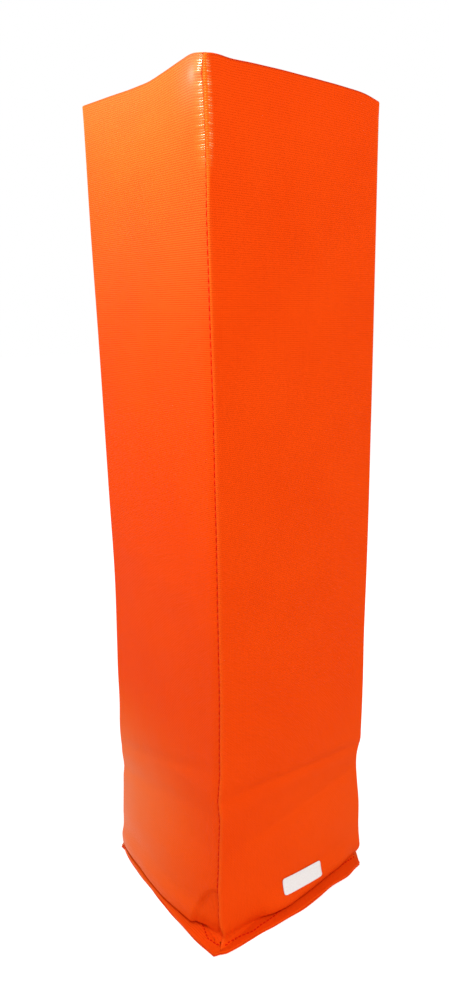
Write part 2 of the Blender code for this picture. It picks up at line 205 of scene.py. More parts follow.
# The filling's push on each face: where the sand rolls the wall out over the bottom seam, at shares across
# the face; the part of it that reaches the seam itself; the belly above it; and the foam's face.
ROLL_OUT_MM = (
    ((-1, 0), (-0.8, -0.3), (-0.6, 0.2), (-0.51, 1.3), (-0.43, 3.6), (-0.31, 5.2), (-0.17, 5.9), (0, 5.6),
     (0.3, 4.6), (0.48, 3.7), (0.65, 3), (0.89, 0.4), (1, 0)),
    ((-1, 0), (-0.7, 2.2), (-0.2, 3.8), (0.4, 3.6), (0.8, 1.8), (1, 0)),
    ((-1, 0), (-0.8, 1.6), (-0.3, 3.6), (0.3, 3.8), (0.7, 2.4), (1, 0)),
    ((-1, 0), (-0.95, 0.9), (-0.85, 2.3), (-0.7, 3.7), (-0.48, 5.1), (-0.21, 7), (0, 7.7), (0.21, 7.8),
     (0.41, 7.4), (0.53, 7.1), (0.62, 6.8), (0.72, 4.6), (0.85, 2.8), (1, 0)),
)
ROLL_AT_SEAM = (0.12, 0.15, 0.15, 0.12)
ROLL_HEIGHT = 0.0048
ROLL_BEND = 1.25
BELLY_OUT = (0.0026, 0.0032, 0.0030, 0.0050)
BELLY_HEIGHT = 0.022
BELLY_ROUND = 0.6
PINCH_HEIGHT = 0.072
FACE_OUT = (0.0010, 0.0011, 0.0010, 0.0009)
FACE_EASE = 0.03
# Soft furrows across each face where the foam ends and the sand starts: height at the face's left and right
# end, depth there, and half their width.
FURROWS = (
    ((0.094, 0.084, 0.0009, 0.0016, 0.0034), (0.056, 0.069, 0.0004, 0.0010, 0.0045)),
    ((0.080, 0.074, 0.0011, 0.0009, 0.0055), (0.060, 0.052, 0.0004, 0.0006, 0.0060)),
    ((0.072, 0.084, 0.0010, 0.0008, 0.0060), (0.055, 0.062, 0.0006, 0.0003, 0.0050)),
    ((0.077, 0.110, 0.0009, 0.0006, 0.0040), (0.060, 0.082, 0.0004, 0.0002, 0.0045)),
)
FURROW_END = 0.3  # the smaller, the further a furrow keeps its depth towards the corners
# The left face is pushed in beside the front corner, inside a curved crease.
FACET_SIDE = 3
FACET_REACH = 0.0235
FACET_HEIGHT = 0.038
FACET_DEPTH = 0.0024
FACET_ROUND = 1.75
FACET_START = 0.25  # it deepens over this share of its reach beside the corner
FACET_CREASE = 0.91  # where the crease starts, as a share of the reach
# The left face has a small spot that stands proud beside the top of the front corner, painted pale as a
# highlight.
SPOT_SIDE = 3
SPOT_PLACE = (0.892, 0.4495)  # share across the face, and height
SPOT_RADIUS = 0.0028
SPOT_RISE = 0.0010
# Small folds where the cloth gathers at the foot of the front left corner.
GATHER_HEIGHT = 0.00035
GATHER_PITCH = 0.0034
GATHER_REACH = 0.0075
GATHER_SLANT = 150  # radians of their wave for each metre up
GATHER_START = 0.001
GATHER_HEIGHTS = (0.004, 0.011)  # over which they fade
# The flange's raw edge and its stitch line, out from each face's plane at shares across it.
FLANGE_OUT_MM = (
    ((-1, 1.8), (-0.95, 2.8), (-0.89, 4.7), (-0.82, 5.4), (-0.6, 5.7), (-0.5, 6.1), (-0.32, 7.7),
     (-0.1, 8.6), (0.12, 8.7), (0.3, 8.5), (0.5, 7.4), (0.8, 7.2), (0.9, 6), (1, 5.2)),
    ((-1, -4.3), (-0.8, 3.5), (-0.3, 8), (0.3, 8.8), (1, 6)),
    ((-1, 5), (-0.5, 8.6), (0.2, 9.2), (0.7, 8), (1, 3.7)),
    ((-1, -0.4), (-0.875, 2.6), (-0.67, 5.3), (-0.38, 7.2), (-0.09, 8.3), (0.16, 9.1), (0.39, 9.8),
     (0.61, 10.3), (0.8, 9.8), (0.92, 9.1), (1, 8.7)),
)
# The stitch line lies in the crease at the wall's foot, but wanders out onto the flange at the front left.
STITCH_OUT_MM = (
    ((-1, 0.4), (-0.9, 0.5), (-0.78, 2.5), (-0.68, 4.6), (-0.56, 4.4), (-0.42, 3.4), (-0.25, 1.9),
     (-0.1, 0.6), (0, 0.1), (1, 0.1)),
    ((-1, 0.1), (1, 0.1)),
    ((-1, 0.1), (1, 0.1)),
    ((-1, 0.1), (0.5, 0.1), (0.6, 0.6), (0.7, 1.9), (0.8, 3.6), (0.87, 4.4), (0.935, 3.1), (1, 0.4)),
)
EDGE_WAVE = 0.00016
EDGE_WAVES = ((11, 0, 1), (23, 1, 0.6))  # waves round the flange, where they start and their share
FLANGE_LIFT = 0.0004
LIFT_WAVES = ((5, 2, 0.6), (13, 0, 0.4))
STRIP_APART = 0.998  # the flange strips end just short of each other at the corners


def through(places, at):
    """A smooth curve through pairs of place and value, read at an array."""
    steps, values = np.array(places, float).T
    slopes = np.gradient(values, steps)
    k = np.clip(np.searchsorted(steps, at, side="right") - 1, 0, len(steps) - 2)
    span = steps[k + 1] - steps[k]
    t = np.clip((at - steps[k]) / span, 0, 1)
    start = values[k] * (2 * t**3 - 3 * t**2 + 1) + slopes[k] * span * (t**3 - 2 * t**2 + t)
    return start + values[k + 1] * (3 * t**2 - 2 * t**3) + slopes[k + 1] * span * (t**3 - t**2)


def eased(low, high, value):
    """A smooth step from 0 at low to 1 at high."""
    share = np.clip((value - low) / (high - low), 0, 1)
    return share * share * (3 - 2 * share)


def hill(away, reach):
    """1 where away is 0, and falling off over a reach."""
    return np.exp(-((away / reach) ** 2))


def turned(x, y, quarter_turns):
    """A point turned about the pylon's axis."""
    for _ in range(quarter_turns % 4):
        x, y = -y, x
    return x, y


RIPPLES = 14
RIPPLE_LOW = (0.012, 0, 0)  # length, heading and start of the waves
RIPPLE_HIGH = (0.055, math.pi, 2 * math.pi)
RIPPLE_HEIGHT = 0.00010
RIPPLE_WAVES = np.random.RandomState(11).uniform(RIPPLE_LOW, RIPPLE_HIGH, (4, RIPPLES, 3))


def ripple(side, along, z):
    """The cloth's slight unevenness over a face."""
    total = 0
    for length, heading, start in RIPPLE_WAVES[side]:
        wave = 2 * math.pi / length
        total = total + np.sin(wave * (along * math.cos(heading) + z * math.sin(heading)) + start)
    return RIPPLE_HEIGHT * total / math.sqrt(RIPPLES / 2)


def corner_shift(corner, z):
    """Where a corner of the stuffed post stands off the straight one, at height z."""
    corner = corner % 4
    lean = through(CORNER_LEAN_MM[corner], z * 1000) / 1000
    inwards = CORNER_DRAWN_IN[corner] * math.sqrt(0.5) * (1 - eased(STRIP_MID, DRAWN_HEIGHT, z))
    return np.stack([way * lean + into * inwards for way, into in zip(LEAN, turned(1, 1, corner))], -1)


def facet_reach(share, z):
    """How far out a point of the left face lies from the front corner's foot: 1 is on the crease."""
    across = (1 - share) * HALF / FACET_REACH
    return (across**FACET_ROUND + (z / FACET_HEIGHT) ** FACET_ROUND) ** (1 / FACET_ROUND)


def proud_spot(side, share, z, radius=SPOT_RADIUS):
    """1 at the middle of the small proud spot beside the top of the front corner, 0 away from it."""
    if side != SPOT_SIDE:
        return 0
    share_at, z_at = SPOT_PLACE
    return hill(np.hypot((share - share_at) * HALF, z - z_at), radius)


def face_push(side, share, z):
    """How far a face stands out past the line between its corners, at a share of its half width."""
    middle = 1 - share**2
    rolled = 1 - (1 - np.clip((z - STRIP_MID) / (ROLL_HEIGHT - STRIP_MID), 0, 1)) ** ROLL_BEND
    roll = through(ROLL_OUT_MM[side], share) / 1000
    low = roll * (ROLL_AT_SEAM[side] + (1 - ROLL_AT_SEAM[side]) * rolled)
    belly = BELLY_OUT[side] * np.sqrt(middle) * (1 - BELLY_ROUND + BELLY_ROUND * middle)
    belly = low + (belly - low) * eased(ROLL_HEIGHT, BELLY_HEIGHT, z)
    belly = belly * (1 - eased(BELLY_HEIGHT, PINCH_HEIGHT, z))
    face = FACE_OUT[side] * eased(PINCH_HEIGHT, PINCH_HEIGHT + FACE_EASE, z)
    face = face * (1 - eased(*TOP_HEIGHTS, z))
    push = belly + (face + ripple(side, share * HALF, z)) * middle + SPOT_RISE * proud_spot(side, share, z)
    for left_z, right_z, left_depth, right_depth, width in FURROWS[side]:
        across = (share + 1) / 2
        depth = left_depth + (right_depth - left_depth) * across
        push = push - depth * hill(z - left_z - (right_z - left_z) * across, width) * middle**FURROW_END
    if side == FACET_SIDE:
        beside = eased(0, FACET_START, (1 - share) * HALF / FACET_REACH)
        push = push - FACET_DEPTH * (1 - eased(FACET_CREASE, 1, facet_reach(share, z))) * beside
    if 0 in (side, (side + 1) % 4):
        away = HALF * (1 + share if side == 0 else 1 - share)
        folds = np.sin(2 * math.pi * away / GATHER_PITCH + GATHER_SLANT * z)
        folds = folds * hill(away, GATHER_REACH) * eased(0, GATHER_START, away)
        push = push + GATHER_HEIGHT * folds * (1 - eased(*GATHER_HEIGHTS, z))
    return push


def face_shift(side, share, z):
    """The shift of a face's point from the straight cut to the stuffed pylon: x, y and z."""
    share = np.clip(share, -1, 1)
    across = ((share + 1) / 2)[..., None]
    lean = corner_shift(side, z) * (1 - across) + corner_shift(side + 1, z) * across
    push = face_push(side, share, z)
    out_x, out_y = turned(0, -1, side)
    rise = through(TOP_EDGE_MM[side], share) / 1000 * eased(*TOP_HEIGHTS, z)
    return np.stack([lean[..., 0] + out_x * push, lean[..., 1] + out_y * push, rise], -1)


def stuffed(points):
    """Where points of the straight-cut pylon lie once it is filled: each face's shift, blended inwards."""
    points = np.asarray(points, float)
    x, y, z = np.moveaxis(points, -1, 0)
    u, v = np.clip((x / HALF, y / HALF), -1, 1)
    near = [((1 + place) / 2)[..., None] for place in (-v, u, v, -u)]
    for side, share in enumerate((u, v, -u, -v)):
        at_corner = face_shift(side, -np.ones_like(z), z) * near[side - 1]
        points = points + (face_shift(side, share, z) - at_corner) * near[side]
    return points


def side_to_pylon(side, x, depth, z):
    """Straight-cut points of a side, given across it and behind its face."""
    x, y = turned(x, depth - HALF, side)
    return np.stack(np.broadcast_arrays(x, y, z), -1)


def hairpin_radius(corner, z):
    """The outer radius of a corner's hairpin fold at height z."""
    start, full, shrinks, ends = SWELL_HEIGHTS
    swell = eased(start, full, z) * (1 - SWELL_SHRINK * eased(shrinks, ends, z))
    return FOLD_RADIUS + FOLD_SWELL[corner % 4] * swell


MERGE = 0.000002  # what differs by less is the same
RIB_PITCH = 0.0010  # the weave's ribs, which print through the coating
PUCKER_HEIGHT = (0.00012, 0.00006, 0.00006, 0.00006)
PUCKER_FADE = (0.406, 0.421)  # heights over which the seam's tight top starts
PUCKER_REACH = {"fold": 0.0008, "turn": 0.0040}  # along the face, from its end
PUCKER_SIZES = np.random.RandomState(5).uniform(0.25, 1.0, (4, int(HEIGHT / RIB_PITCH) + 6))


def rib_sizes(corner, z):
    """How strongly each rib stands out along a corner seam."""
    sizes = PUCKER_SIZES[corner % 4]
    return sizes[np.clip(z / RIB_PITCH + 0.5, 0, len(sizes) - 1).astype(int)]


def puckers(corner, z):
    """The ribs that stand up along the tight top of a corner seam."""
    wave = np.cos(2 * math.pi * z / RIB_PITCH)
    return PUCKER_HEIGHT[corner % 4] * rib_sizes(corner, z) * wave * eased(*PUCKER_FADE, z)


def arc(start, end, steps):
    """Angles in radians from start to end degrees, both included."""
    return np.radians(np.linspace(start, end, steps + 1))


def crowded(count, ends, share):
    """Shares from 0 to 1, count of them in the middle and more within a share of each end."""
    near = np.linspace(0, share, ends, endpoint=False)
    return np.concatenate([near, np.linspace(share, 1 - share, count), 1 - near[::-1]])


FACE_SHARES = crowded(34, 14, 0.090)
FACET_SHARES = np.concatenate(  # finer where the crease lies
    [FACE_SHARES[:39], np.linspace(0.70, 0.90, 21), np.linspace(0.908, 1, 13)]
)
FOLD_ANGLES = arc(0, 180, 10)
TURN_ANGLES = arc(0, 90, 6)
ALLOWANCE_STEPS = np.linspace(0, 1, 4)[1:]
FLANGE_STEPS = np.linspace(1, 0, 10, endpoint=False)
FOOT_RISES = FOOT_RADIUS * (1 - np.sin(arc(90, 0, 4)))[:-1]
WALL_STEPS = (  # from a height, to a height, by a step: finest at the top, where each rib shows
    (WALL_FOOT, 0.016, 0.0005), (0.016, 0.100, 0.0014), (0.100, 0.404, 0.0035),
    (0.404, WALL_TOP - 0.0001, 0.0002),
)
WALL_HEIGHTS = np.concatenate([*(np.arange(*steps) for steps in WALL_STEPS), [WALL_TOP]])
TOP_ANGLES = arc(0, 180, 8)[1:]
TOP_TAIL = np.linspace(0, 1, 4)[1:]


def face_end(corner, end, z):
    """How far from its middle a panel's flat face ends at a corner."""
    radius = hairpin_radius(corner, z)
    if end == "fold":
        return HALF - radius
    return HALF - 2 * radius - GAP - TURN_RADIUS


def corner_path(corner, end, z, over):
    """A panel's way out from its face at its right corner: x, depth behind the face and part."""
    radius = hairpin_radius(corner, z)
    ribs = puckers(corner, z)
    level = np.cos(np.minimum(over, math.pi / 2))
    start = face_end(corner, end, z)
    if end == "fold":
        swell = (radius - FOLD_RADIUS) / max(FOLD_SWELL)
        path = []
        for a in FOLD_ANGLES[1:]:
            flat = 1 - FOLD_FLAT * swell * math.sin(min(FLAT_PART * a, math.pi)) ** 2
            ring = ((radius - CLOTH / 2) * flat + ribs) * level
            path.append((start + ring * np.sin(a), radius - ring * np.cos(a), "fold"))
        inner = 2 * radius - CLOTH / 2 + 0 * z
        path += [(start - step * (ALLOWANCE - radius), inner, "allowance") for step in ALLOWANCE_STEPS]
        return path
    ring = (TURN_RADIUS - CLOTH / 2 + ribs) * level
    low = TURN_RADIUS + TURN_DROP[corner % 4]
    path = [(start + ring * np.sin(a), low - ring * np.cos(a), "turn") for a in TURN_ANGLES[1:]]
    deep = [low + step * (ALLOWANCE - low) + 0 * z for step in ALLOWANCE_STEPS]
    path += [(start + TURN_RADIUS - CLOTH / 2, depth, "allowance") for depth in deep]
    return path


def face_depth(corner, end, z, away):
    """How far a face sinks towards its end at a corner, less the puckers, at a distance from that end."""
    sunk = -puckers(corner, z) * np.exp(-away / PUCKER_REACH[end])
    if end == "turn":
        sunk = sunk + TURN_DROP[corner % 4] * np.clip(1 - away / TURN_REACH, 0, 1) ** 2
    return sunk


def foot_radius(side, share):
    """The radius of the wall's bend into the flange, which is softer towards the corners."""
    left, right = (hill((1 + away) * HALF, FOOT_REACH) for away in (share, -share))
    return FOOT_RADIUS + FOOT_SOFT[side] * left + FOOT_SOFT[(side + 1) % 4] * right


def flare(side, share, z):
    """How far the wall's foot stands out at height z on its bend."""
    radius = foot_radius(side, share)
    below = np.clip(radius - (z - STRIP_MID), 0, radius)
    return radius - np.sqrt(radius**2 - below**2)


def waves(kinds, turns):
    """The sum of several kinds of wave round the flange."""
    return sum(share * np.sin(count * turns + start) for count, start, share in kinds)


def flange_point(side, share, out, level):
    """The flange at a share of its width out from the wall's foot, over a level."""
    soft = foot_radius(side, share)
    foot = stuffed(side_to_pylon(side, share * (HALF + soft), CLOTH / 2 - soft, STRIP_MID + 0 * share))
    left = -HALF - FLANGE_OUT_MM[side - 1][-1][1] / 1000
    right = HALF + FLANGE_OUT_MM[(side + 1) % 4][0][1] / 1000
    turns = 2 * math.pi * (side + (share + 1) / 2) / 4
    wave = EDGE_WAVE * waves(EDGE_WAVES, turns) * (1 - share**CORNER_POWER)
    reach = through(FLANGE_OUT_MM[side], share) / 1000 + wave
    edge = side_to_pylon(side, left + (right - left) * (share + 1) / 2, -reach, 0)
    lift = FLANGE_LIFT * (1 + waves(LIFT_WAVES, turns))
    points = foot + (edge - foot) * out[..., None]
    points[..., 2] = level + lift * out**2
    return points


# Polish: the coat's gloss is real, but the paler colour it mixes in is painted glints, highlights and sheen.
POLISH_AND_SHEEN_HEIGHTS = (0.406, 0.424)  # where the polish and painted glints along the top of a corner seam start and are full
POLISH_AND_SHEEN_TOP = (1.0, 0.4, 0.4, 0.4)  # painted glints at each corner, on the crests of the ribs
POLISH_AND_SHEEN_END = {"fold": 1.6, "turn": 1.0}
POLISH_AND_SHEEN_REACH = {"fold": 0.0008, "turn": 0.0042}
CREST_POWER = 1.5  # how closely it keeps to the crests
POLISH_AND_SHEEN_FOLD = 0.16  # a painted highlight down the outer side of each hairpin
POLISH_AND_SHEEN_OUTER = (0.25, 0.55)  # depths over which that side starts, in radii of the hairpin
POLISH_AND_SHEEN_LOW = ((0, 0.10), (0.4, 0.2), (0.4, 0.2), (0.64, 0))  # painted sheen at each face's lower left and right
POLISH_AND_SHEEN_LOW_REACH = (2.4, 0.3)  # of the broad painted sheen and the polish and painted sheen at the edge itself, in half widths
POLISH_AND_SHEEN_LOW_HEIGHTS = (0.05, 0.14)
POLISH_AND_SHEEN_EDGE = 0.15  # the edge's share of it
POLISH_AND_SHEEN_HIGH = (0.0, 0.05, 0.05, 0.045)  # painted light over the upper part of each face
POLISH_AND_SHEEN_HIGH_HEIGHTS = (0.22, 0.46)
POLISH_AND_SHEEN_SPOT = 0.15
PAINTED_HAZE = ((0, 0), (0.29, 0.003), (0.33, 0.007), (0.37, 0.016), (0.43, 0.022), (0.457, 0.036))  # painted sheen over the upper left face, by height
PAINTED_HAZE_GLOW = 0.067  # painted sheen added round the proud spot
PAINTED_HAZE_RADIUS = 0.010
PAINTED_HAZE_SPOT = 0.24
PAINTED_GLINT_CRESTS = 0.6  # share of the spot's painted highlight that only the crests of the ribs have
PAINTED_SHADE = (1.0, 0.4, 0.4, 0.5)  # painted shade along the top fold of each face
PAINTED_SHADE_OVER = (0.15, 0.5)  # sines of the angles over the fold between which it grows
PAINTED_SHADE_ENDS = 0.15
VINYL_PAINTED_LIGHT = {  # the colour that each mask paints into the coating: painted sheen and glints, painted haze and highlight, painted shade
    "polish_and_painted_sheen": (0.84, 0.180, 0.0160, 1),
    "painted_haze": (0.90, 0.300, 0.2500, 1),
    "painted_shade": (0.46, 0.025, 0.0030, 1),
}


def rib_crest(z):
    """1 on the crest of each rib, 0 between the ribs."""
    return (1 + np.cos(2 * math.pi * z / RIB_PITCH)) / 2


def polish_and_painted_sheen(side, share, depth, z):
    """How polished the coating is, with its painted glints, highlights and sheen: along the tight tops of the
    seams, and low at the faces' ends.
    """
    shine = POLISH_AND_SHEEN_HIGH[side] * eased(*POLISH_AND_SHEEN_HIGH_HEIGHTS, z)
    for k, away in enumerate((1 + share, 1 - share)):
        corner = side + k
        end = PANEL_ENDS[side][k]
        crests = rib_sizes(corner, z) * rib_crest(z) ** CREST_POWER
        near = POLISH_AND_SHEEN_TOP[corner % 4] * POLISH_AND_SHEEN_END[end] * crests * eased(*POLISH_AND_SHEEN_HEIGHTS, z)
        if end == "fold":
            outer = eased(*POLISH_AND_SHEEN_OUTER, depth / hairpin_radius(corner, z))
            near = near * (1 - outer) + POLISH_AND_SHEEN_FOLD * outer
        broad, edge = POLISH_AND_SHEEN_LOW_REACH
        low = (1 - POLISH_AND_SHEEN_EDGE) * (1 - eased(0, broad, away)) + POLISH_AND_SHEEN_EDGE * hill(away, edge)
        shine = shine + near * hill(away * HALF, POLISH_AND_SHEEN_REACH[end])
        shine = shine + POLISH_AND_SHEEN_LOW[side][k] * low * (1 - eased(*POLISH_AND_SHEEN_LOW_HEIGHTS, z))
    return np.clip(shine + POLISH_AND_SHEEN_SPOT * proud_spot(side, share, z) * rib_crest(z), 0, 1)


def painted_haze(side, share, z):
    """How pale the painted haze makes the coating: over the upper left face as painted sheen, and most at its
    proud spot as a painted highlight.
    """
    if side != SPOT_SIDE:
        return 0 * share
    spot = PAINTED_HAZE_SPOT * proud_spot(side, share, z) * (1 - PAINTED_GLINT_CRESTS + PAINTED_GLINT_CRESTS * rib_crest(z))
    return through(PAINTED_HAZE, z) + PAINTED_HAZE_GLOW * proud_spot(side, share, z, PAINTED_HAZE_RADIUS) + spot


def painted_shade(side, share, over):
    """How dark the painted shade makes the fold along the top, at an angle over it."""
    ends = eased(0, PAINTED_SHADE_ENDS, 1 + share) * eased(0, PAINTED_SHADE_ENDS, 1 - share)
    return PAINTED_SHADE[side] * eased(*PAINTED_SHADE_OVER, np.sin(over)) * ends


def travelled(*path):
    """How far along a path each of its points lies, from the path's coordinates."""
    return np.concatenate([[0], np.cumsum(np.linalg.norm(np.diff(path), axis=0))])


def side_panel(side):
    """A side panel's cloth: its middle as a grid of points, its measure as cloth, its cells and its masks of
    gloss and painted light.
    """
    rows = [(STRIP_MID, "flange", step) for step in FLANGE_STEPS]
    rows += [(STRIP_MID + rise, "foot", 0) for rise in FOOT_RISES]
    rows += [(z, "wall" if z < HEIGHT - ALLOWANCE else "clipped", 0) for z in WALL_HEIGHTS]
    rows += [(WALL_TOP, "top fold", angle) for angle in TOP_ANGLES]
    rows += [(WALL_TOP - step * (ALLOWANCE - TOP_RADIUS), "top tail", math.pi) for step in TOP_TAIL]
    z, part, place = map(np.array, zip(*rows))
    over = np.where(np.isin(part, ("top fold", "top tail")), place, 0)
    wall = np.isin(part, ("flange", "foot", "wall", "clipped"))

    left_end, right_end = PANEL_ENDS[side]
    start = -face_end(side, left_end, z)
    end = face_end(side + 1, right_end, z)
    left = corner_path(side, left_end, z, over)
    columns = [(-x, depth, kind) for x, depth, kind in left[::-1]]
    for share in FACET_SHARES if side == FACET_SIDE else FACE_SHARES:
        x = start + (end - start) * share
        depth = face_depth(side, left_end, z, x - start) + face_depth(side + 1, right_end, z, end - x)
        columns.append((x, CLOTH / 2 + depth, "face"))
    columns += corner_path(side + 1, right_end, z, over)
    x, depth, kinds = (np.array(each).T for each in zip(*columns))
    on_face = kinds == "face"

    share = np.clip((x - start[:, None]) / (end - start)[:, None] * 2 - 1, -1, 1)
    out = flare(side, share, z[:, None]) * wall[:, None]
    flared_x = x + np.sign(share) * np.abs(share) ** CORNER_POWER * out
    rise = TOP_RADIUS - CLOTH / 2
    height = z[:, None] + rise * np.sin(over)[:, None]
    back = rise * (1 - np.cos(over))[:, None] * on_face
    points = stuffed(side_to_pylon(side, flared_x, depth - out + back, height))
    strip = part == "flange"
    strip_share = np.broadcast_to(share[strip] * STRIP_APART, (strip.sum(), len(kinds)))
    points[strip] = flange_point(side, strip_share, place[strip][:, None] + 0 * strip_share, STRIP_MID)

    sample = len(z) // 4
    gauge_u = travelled(x[sample], depth[sample])
    middle = len(kinds) // 2
    gauge_v = travelled(*points[:, middle].T)
    first_wall = int(np.argmax(part == "wall"))
    gauge_v = np.where(np.isin(part, ("wall", "clipped")), z, gauge_v - gauge_v[first_wall] + z[first_wall])
    gauge = np.stack(np.broadcast_arrays(gauge_u[None] - gauge_u[middle], gauge_v[:, None]), -1)

    flat = kinds != "allowance"
    outer = np.isin(kinds, ("face", "fold"))
    face_cells = on_face[1:] & on_face[:-1]
    kept = np.ones((len(rows) - 1, len(kinds) - 1), bool)
    kept[part[:-1] == "flange"] = face_cells
    kept[part[:-1] == "foot"] = outer[1:] & outer[:-1]
    kept[np.isin(part[1:], ("clipped", "top fold"))] = flat[1:] & flat[:-1]
    past_crest = np.cos(over[1:]) < -MERGE
    kept[past_crest] = face_cells
    # Masks for the coating: polish with painted glints and sheen, painted haze and highlight, painted shade.
    gloss_and_painted_light = {
        "polish_and_painted_sheen": polish_and_painted_sheen(side, share, depth, height),
        "painted_haze": painted_haze(side, share, height),
        "painted_shade": painted_shade(side, share, over[:, None]),
    }
    return points, gauge, kept, gloss_and_painted_light


def cloth_piece(name, points, gauge, finish, kept=None, gloss_and_painted_light=(), thickness=CLOTH, flip=False):
    """Cloth over all or the kept cells of a grid, with its thickness. Its UV map is its measure in metres."""
    rows, columns = points.shape[:2]
    index = np.arange(rows * columns).reshape(rows, columns)
    cells = np.stack([index[:-1, :-1], index[:-1, 1:], index[1:, 1:], index[1:, :-1]], -1)
    cells = cells.reshape(-1, 4) if kept is None else cells[kept]
    if flip:
        cells = cells[:, ::-1]
    used, cells = np.unique(cells, return_inverse=True)
    cells = cells.reshape(-1, 4)
    mesh = bpy.data.meshes.new(name)
    mesh.from_pydata(points.reshape(-1, 3)[used].tolist(), [], cells.tolist())
    layer = mesh.uv_layers.new(name="cloth")
    layer.data.foreach_set("uv", gauge.reshape(-1, 2)[used][cells.ravel()].astype(np.float32).ravel())
    # An attribute for each mask of gloss and painted light, zero where the piece has none.
    for look in VINYL_PAINTED_LIGHT:
        amount = mesh.attributes.new(look, "FLOAT", "POINT")
        if look in gloss_and_painted_light:
            amount.data.foreach_set("value", gloss_and_painted_light[look].reshape(-1)[used].astype(np.float32))
    bm = bmesh.new()
    bm.from_mesh(mesh)
    bmesh.ops.remove_doubles(bm, verts=bm.verts, dist=MERGE)
    bm.to_mesh(mesh)
    bm.free()
    sheet = placed(name, mesh)
    wall = sheet.modifiers.new("thickness", "SOLIDIFY")
    wall.thickness = thickness
    wall.offset = 0
    wall.use_even_offset = False
    return finished(sheet, finish)


def finished(draft, finish):
    """The draft with its modifiers applied, as a plain smooth mesh that rides on the pylon."""
    name = draft.name
    evaluated = draft.evaluated_get(bpy.context.evaluated_depsgraph_get())
    mesh = bpy.data.meshes.new_from_object(evaluated)
    draft.modifiers.clear()
    bpy.data.objects.remove(draft)
    mesh.name = name
    mesh.materials.clear()
    mesh.materials.append(finish)
    mesh.shade_smooth()
    piece = placed(name, mesh)
    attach(piece, "root")
    return piece


def math_node(tree, operation, *values):
    """The result of an operation on values."""
    node = add_node(tree, "ShaderNodeMath", *values)
    node.operation = operation
    return node.outputs[0]


def mixed(tree, amount, first, second):
    """The colour between two that an amount gives."""
    mix = add_node(tree, "ShaderNodeMix", amount)
    mix.data_type = "RGBA"
    feed(tree, mix.inputs[6], first)
    feed(tree, mix.inputs[7], second)
    return mix.outputs[2]


def surface(tree, height, depth, strength, **looks):
    """A material's shader: its looks, over the relief that a height makes."""
    relief = add_node(tree, "ShaderNodeBump", Strength=strength, Distance=depth, Height=height)
    skin = add_node(tree, "ShaderNodeBsdfPrincipled", Normal=relief.outputs[0], **looks)
    add_node(tree, "ShaderNodeOutputMaterial", Surface=skin.outputs[0])


VINYL_DEEP = (0.81, 0.054, 0.0018, 1)
VINYL_LIGHT = (0.85, 0.062, 0.0024, 1)
RIB_DEPTH = 0.00022
STREAK_SCALE = (900, 60, 1)

vinyl, tree = new_material("orange_vinyl")
gauge = add_node(tree, "ShaderNodeUVMap")
gauge.uv_map = "cloth"
split = add_node(tree, "ShaderNodeSeparateXYZ", gauge.outputs[0])
streaky = add_node(tree, "ShaderNodeMapping", gauge.outputs[0], Scale=STREAK_SCALE)
streaks = add_node(tree, "ShaderNodeTexNoise", streaky.outputs[0], Scale=1.0, Detail=2.0).outputs[0]
clouds = add_node(tree, "ShaderNodeTexNoise", gauge.outputs[0], Scale=22.0, Detail=3.0).outputs[0]
tone = add_node(tree, "ShaderNodeMapRange", math_node(tree, "MULTIPLY_ADD", streaks, 0.5, clouds), 0.5, 1.0)
colour = mixed(tree, tone.outputs[0], VINYL_DEEP, VINYL_LIGHT)
# Painted light: each mask mixes in a paler colour as painted sheen, glints and highlights, or a dark red as
# painted shade; the first also sets the coat's gloss.
for look, paint in VINYL_PAINTED_LIGHT.items():
    amount = tree.nodes.new("ShaderNodeAttribute")
    amount.attribute_name = look
    colour = mixed(tree, amount.outputs["Fac"], colour, paint)
    if look == "polish_and_painted_sheen":
        shine = math_node(tree, "POWER", amount.outputs["Fac"], 2.0)
weave = math_node(tree, "MULTIPLY", streaks, 0.4)
for along, strength in ((split.outputs[1], 0.6), (split.outputs[0], 0.2)):
    wave = math_node(tree, "SINE", math_node(tree, "MULTIPLY", along, 2 * math.pi / RIB_PITCH))
    weave = math_node(tree, "MULTIPLY_ADD", wave, strength, weave)
rough = add_node(tree, "ShaderNodeMapRange", clouds, 0.3, 0.7, 0.36, 0.48)
surface(
    tree, weave, RIB_DEPTH, strength=0.6, Base_Color=colour, Roughness=rough.outputs[0], Coat_Weight=shine,
    Coat_Roughness=0.23, Coat_IOR=1.6, IOR=1.07, Specular_IOR_Level=0.5, Specular_Tint=(1.0, 0.70, 0.35, 1),
)

for side, name in enumerate(SIDES):
    points, gauge, kept, gloss_and_painted_light = side_panel(side)
    panel = cloth_piece(f"{name}_panel_cloth", points, gauge, vinyl, kept, gloss_and_painted_light)
    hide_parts(f"{name}_panel")

# Top panel
# A square of the same cloth closes the top. Its edges turn down inside the folded tops of the walls, and the
# foam under it holds it up in a low dome.
TOP_DOME = 0.0016
DOME_POWER = 0.8
PULL_HEIGHT = 0.00012  # of the small pulls round its edge
PULLS = 12
PULLS_FROM = 0.7  # in half widths from the middle
TOP_SHARES = crowded(30, 8, 0.05)[1:-1]

